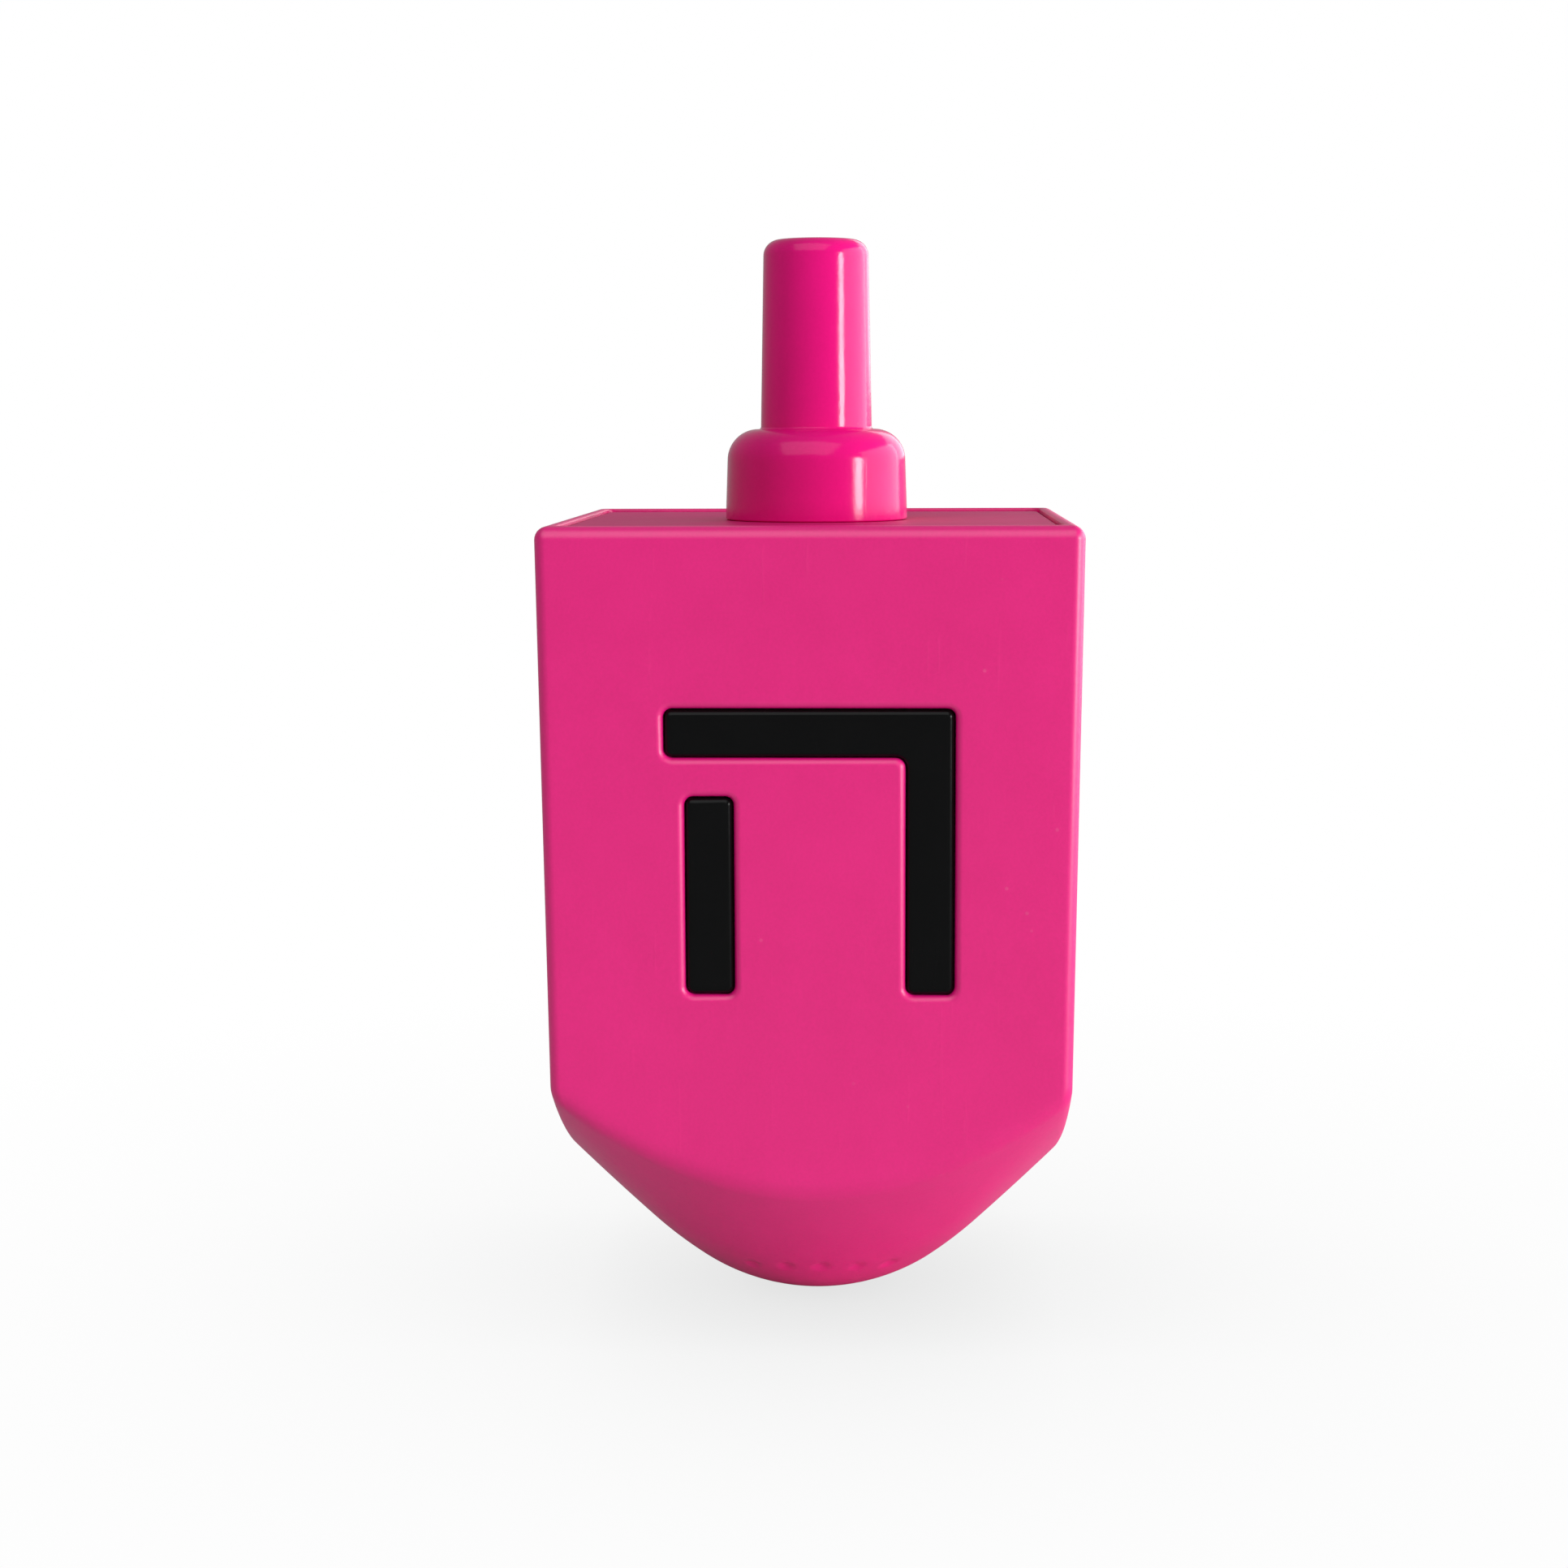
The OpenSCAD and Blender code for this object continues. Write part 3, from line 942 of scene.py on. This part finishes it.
def stakes_tree(group):
    """A turned pin above and below the letter of each of the four leaning faces."""
    tree = bpy.data.node_groups.new("Stakes", "GeometryNodeTree")
    add_socket(tree, "Profile", "NodeSocketGeometry")
    add_socket(tree, "Segments", "NodeSocketInt")
    for name in ("Rise", "Drop", "Half width", "Height", "Draft"):
        add_socket(tree, name, "NodeSocketFloat")
    add_socket(tree, "Material", "NodeSocketMaterial")
    add_socket(tree, "Geometry", "NodeSocketGeometry", "OUTPUT")
    g = Graph(tree)
    given = tree.nodes.new("NodeGroupInput")
    wire = {s.name: Wire(g, s) for s in given.outputs if s.name}
    pin = g.node(
        "GeometryNodeGroup",
        {"Profile": wire["Profile"], "Segments": wire["Segments"]},
        node_tree=group,
    )
    inward = g.node("GeometryNodeTransform", {"Geometry": pin, "Rotation": (-math.pi / 2, 0, 0)})
    low = g.node("ShaderNodeCombineXYZ", {"Z": 0 - wire["Rise"] - wire["Drop"]})
    apart = g.node("ShaderNodeCombineXYZ", {"Z": wire["Rise"] * 2})
    pair = g.node("GeometryNodeMeshLine", {"Count": 2, "Start Location": low, "Offset": apart})
    both = g.node("GeometryNodeInstanceOnPoints", {"Points": pair, "Instance": inward})
    lean = g.node("ShaderNodeCombineXYZ", {"X": wire["Draft"]})
    wall = g.node("ShaderNodeCombineXYZ", {"Y": 0 - wire["Half width"], "Z": wire["Height"]})
    one = g.node("GeometryNodeTransform", {"Geometry": both, "Translation": wall, "Rotation": lean})
    spots = g.node("GeometryNodeMeshLine", {"Count": len(LETTERS), "Offset": (0, 0, 0)})
    turn = g.node("ShaderNodeCombineXYZ", {"Z": g.node("GeometryNodeInputIndex") * (math.pi / 2)})
    turned = g.node("FunctionNodeEulerToRotation", {0: turn})
    four = g.node(
        "GeometryNodeInstanceOnPoints",
        {"Points": spots, "Instance": one, "Rotation": turned},
    )
    real = g.node("GeometryNodeRealizeInstances", {"Geometry": four})
    done = g.node("GeometryNodeSetMaterial", {"Geometry": real, "Material": wire["Material"]})
    g.node("NodeGroupOutput", {"Geometry": done})
    return tree


def grown(name, profile, tree, values):
    """The plain mesh that a geometry node tree makes from a profile in millimetres."""
    line = bpy.data.meshes.new(name + "_profile")
    points = [(x * MM, 0.0, z * MM) for x, z in profile]
    line.from_pydata(points, [(i, i + 1) for i in range(len(points) - 1)], [])
    holder = bpy.data.objects.new(name + "_profile", line)
    bpy.context.scene.collection.objects.link(holder)
    modifier = holder.modifiers.new("Turned", "NODES")
    modifier.node_group = tree
    for item in tree.interface.items_tree:
        if item.in_out == "INPUT" and item.name in values:
            modifier[item.identifier] = values[item.name]
    graph = bpy.context.evaluated_depsgraph_get()
    made = bpy.data.meshes.new_from_object(holder.evaluated_get(graph))
    made.name = name
    bpy.data.objects.remove(holder)
    bpy.data.meshes.remove(line)
    return made


def arc(x, z, radius, start, end, steps):
    """Points along an arc of a profile, between two angles in degrees."""
    a = np.radians(np.linspace(start, end, steps + 1))
    return [(x + radius * c, z + radius * s) for c, s in zip(np.cos(a), np.sin(a))]


def stem_profile():
    """From the pilot hole's end, round the tenon and collar, to the top of the peg."""
    points = [(0, PILOT_TOP), (PILOT_R, PILOT_TOP), (PILOT_R, -TENON_L)]
    points += [(TENON_R - SMALL_R, -TENON_L), (TENON_R, SMALL_R - TENON_L), (TENON_R, 0)]
    points += [(COLLAR_R - SMALL_R, 0), (COLLAR_R, SMALL_R)]
    points += arc(COLLAR_TOP_R - SHOULDER_R, COLLAR_H - SHOULDER_R, SHOULDER_R, 0, 90, SHOULDER_STEPS)
    points += arc(PEG_FOOT_R + FOOT_R, COLLAR_H + FOOT_R, FOOT_R, 270, 180, FOOT_STEPS)
    points += arc(PEG_TOP_R - PEG_EDGE_R, STEM_H - PEG_EDGE_R, PEG_EDGE_R, 0, 90, PEG_EDGE_STEPS)
    points.append((0, STEM_H))
    return [(x, z + COVER_Z) for x, z in points]


def stake_profile():
    """From inside the wall to a low round head on the plate."""
    far = WALL_T + PLATE_T
    dome = STAKE_HEAD_T - STAKE_HEAD_SIDE
    points = [(0, WALL_T / 2), (STAKE_R, WALL_T / 2), (STAKE_R, far)]
    points += [(STAKE_HEAD_R - STAKE_CHAMFER, far), (STAKE_HEAD_R, far + STAKE_CHAMFER)]
    points.append((STAKE_HEAD_R, far + STAKE_HEAD_SIDE))
    for s, c in quarter(HEAD_STEPS)[1:-1]:
        points.append((STAKE_HEAD_R * c, far + STAKE_HEAD_SIDE + dome * s))
    return points + [(0, far + STAKE_HEAD_T)]


# Materials and pieces
pink = pink_plastic("pink_plastic", rough=0.38, sheen=0.72, grain=0.5)
pink_stem = pink_plastic("pink_stem_plastic", rough=0.15, sheen=0.19, grain=0.4)
# The cover is the same pink deepened to 0.72, as painted shade on the top face
pink_top_painted_shade = pink_plastic("pink_cover_plastic_painted_shade", rough=0.5, sheen=0.25, grain=0.7, depth=0.72)
black = black_plastic()
steel = zinc_steel()

piece("shell", make_shell(), pink, "body", "pink_plastic", "body_shell")
for face, letter in enumerate(LETTERS):
    piece(letter + "_letter", make_plate(face), black, "body", "black_plastic", letter + "_plate")
piece("cover", make_cover(), pink_top_painted_shade, "cover", "pink_plastic", "top_cover")

turning = turned_group()
stem_sizes = {"Segments": STEM_SEGMENTS, "Material": pink_stem}
stem_mesh = grown("stem", stem_profile(), turned_tree(turning), stem_sizes)
piece("finger_stem", stem_mesh, pink_stem, "cover", "pink_plastic", "stem")
stake_sizes = {
    "Segments": STAKE_SEGMENTS,
    "Rise": STAKE_Z * MM,
    "Drop": LETTER_DROP * MM,
    "Half width": BODY_W / 2 * MM,
    "Height": BODY_H * MM,
    "Draft": DRAFT,
    "Material": pink,
}
stake_mesh = grown("stakes", stake_profile(), stakes_tree(turning), stake_sizes)
piece("stakes", stake_mesh, pink, "body", "pink_plastic", "body_shell")

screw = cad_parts["stem_screw"]
screw.data.materials.clear()
screw.data.materials.append(steel)


# Camera, light and paper
def camera():
    """Turned to the right by its yaw, down by its pitch, then rolled."""
    yaw, pitch, roll = (math.radians(v) for v in CAMERA_TURNS)
    ahead = Vector((math.sin(yaw) * math.cos(pitch), math.cos(yaw) * math.cos(pitch), -math.sin(pitch)))
    right = Vector((math.cos(yaw), -math.sin(yaw), 0))
    up = right.cross(ahead)
    across = right * math.cos(roll) + up * math.sin(roll)
    above = up * math.cos(roll) - right * math.sin(roll)
    data = bpy.data.cameras.new("camera")
    data.lens = CAMERA_LENS
    data.clip_start, data.clip_end = CAMERA_CLIP
    obj = bpy.data.objects.new("camera", data)
    turn = Matrix((across, above, -ahead)).transposed().to_4x4()
    obj.matrix_world = Matrix.Translation(Vector(CAMERA_SPOT) * MM) @ turn
    bpy.context.scene.collection.objects.link(obj)
    bpy.context.scene.camera = obj


def softbox(name, bearing, height, distance, width, tall, power):
    """A soft light that looks at the body; its bearing is to the right of the front, in degrees."""
    a = math.radians(bearing)
    spot = Vector((math.sin(a) * distance, -math.cos(a) * distance, height)) * MM
    aim = Vector((0, 0, BODY_H / 2 * MM)) - spot
    data = bpy.data.lights.new(name, "AREA")
    data.shape = "RECTANGLE"
    data.size = width * MM
    data.size_y = tall * MM
    data.energy = power
    obj = bpy.data.objects.new(name, data)
    obj.matrix_world = Matrix.Translation(spot) @ aim.to_track_quat("-Z", "Y").to_matrix().to_4x4()
    bpy.context.scene.collection.objects.link(obj)


def paper_floor():
    """A round sheet that the tip stands on."""
    turns = np.linspace(0, 2 * math.pi, PAPER_STEPS, endpoint=False)
    rim = [Vector((math.cos(a), math.sin(a), 0)) * PAPER_R * MM for a in turns]
    mesh = bpy.data.meshes.new("paper")
    mesh.from_pydata(rim, [], [range(len(rim))])
    mesh.materials.append(white_paper())
    obj = bpy.data.objects.new("paper", mesh)
    bpy.context.scene.collection.objects.link(obj)


camera()
paper_floor()
pale_world()
for lamp in LAMPS:
    softbox(*lamp)
bpy.context.scene.view_settings.view_transform = "Standard"

bpy.context.view_layer.update()
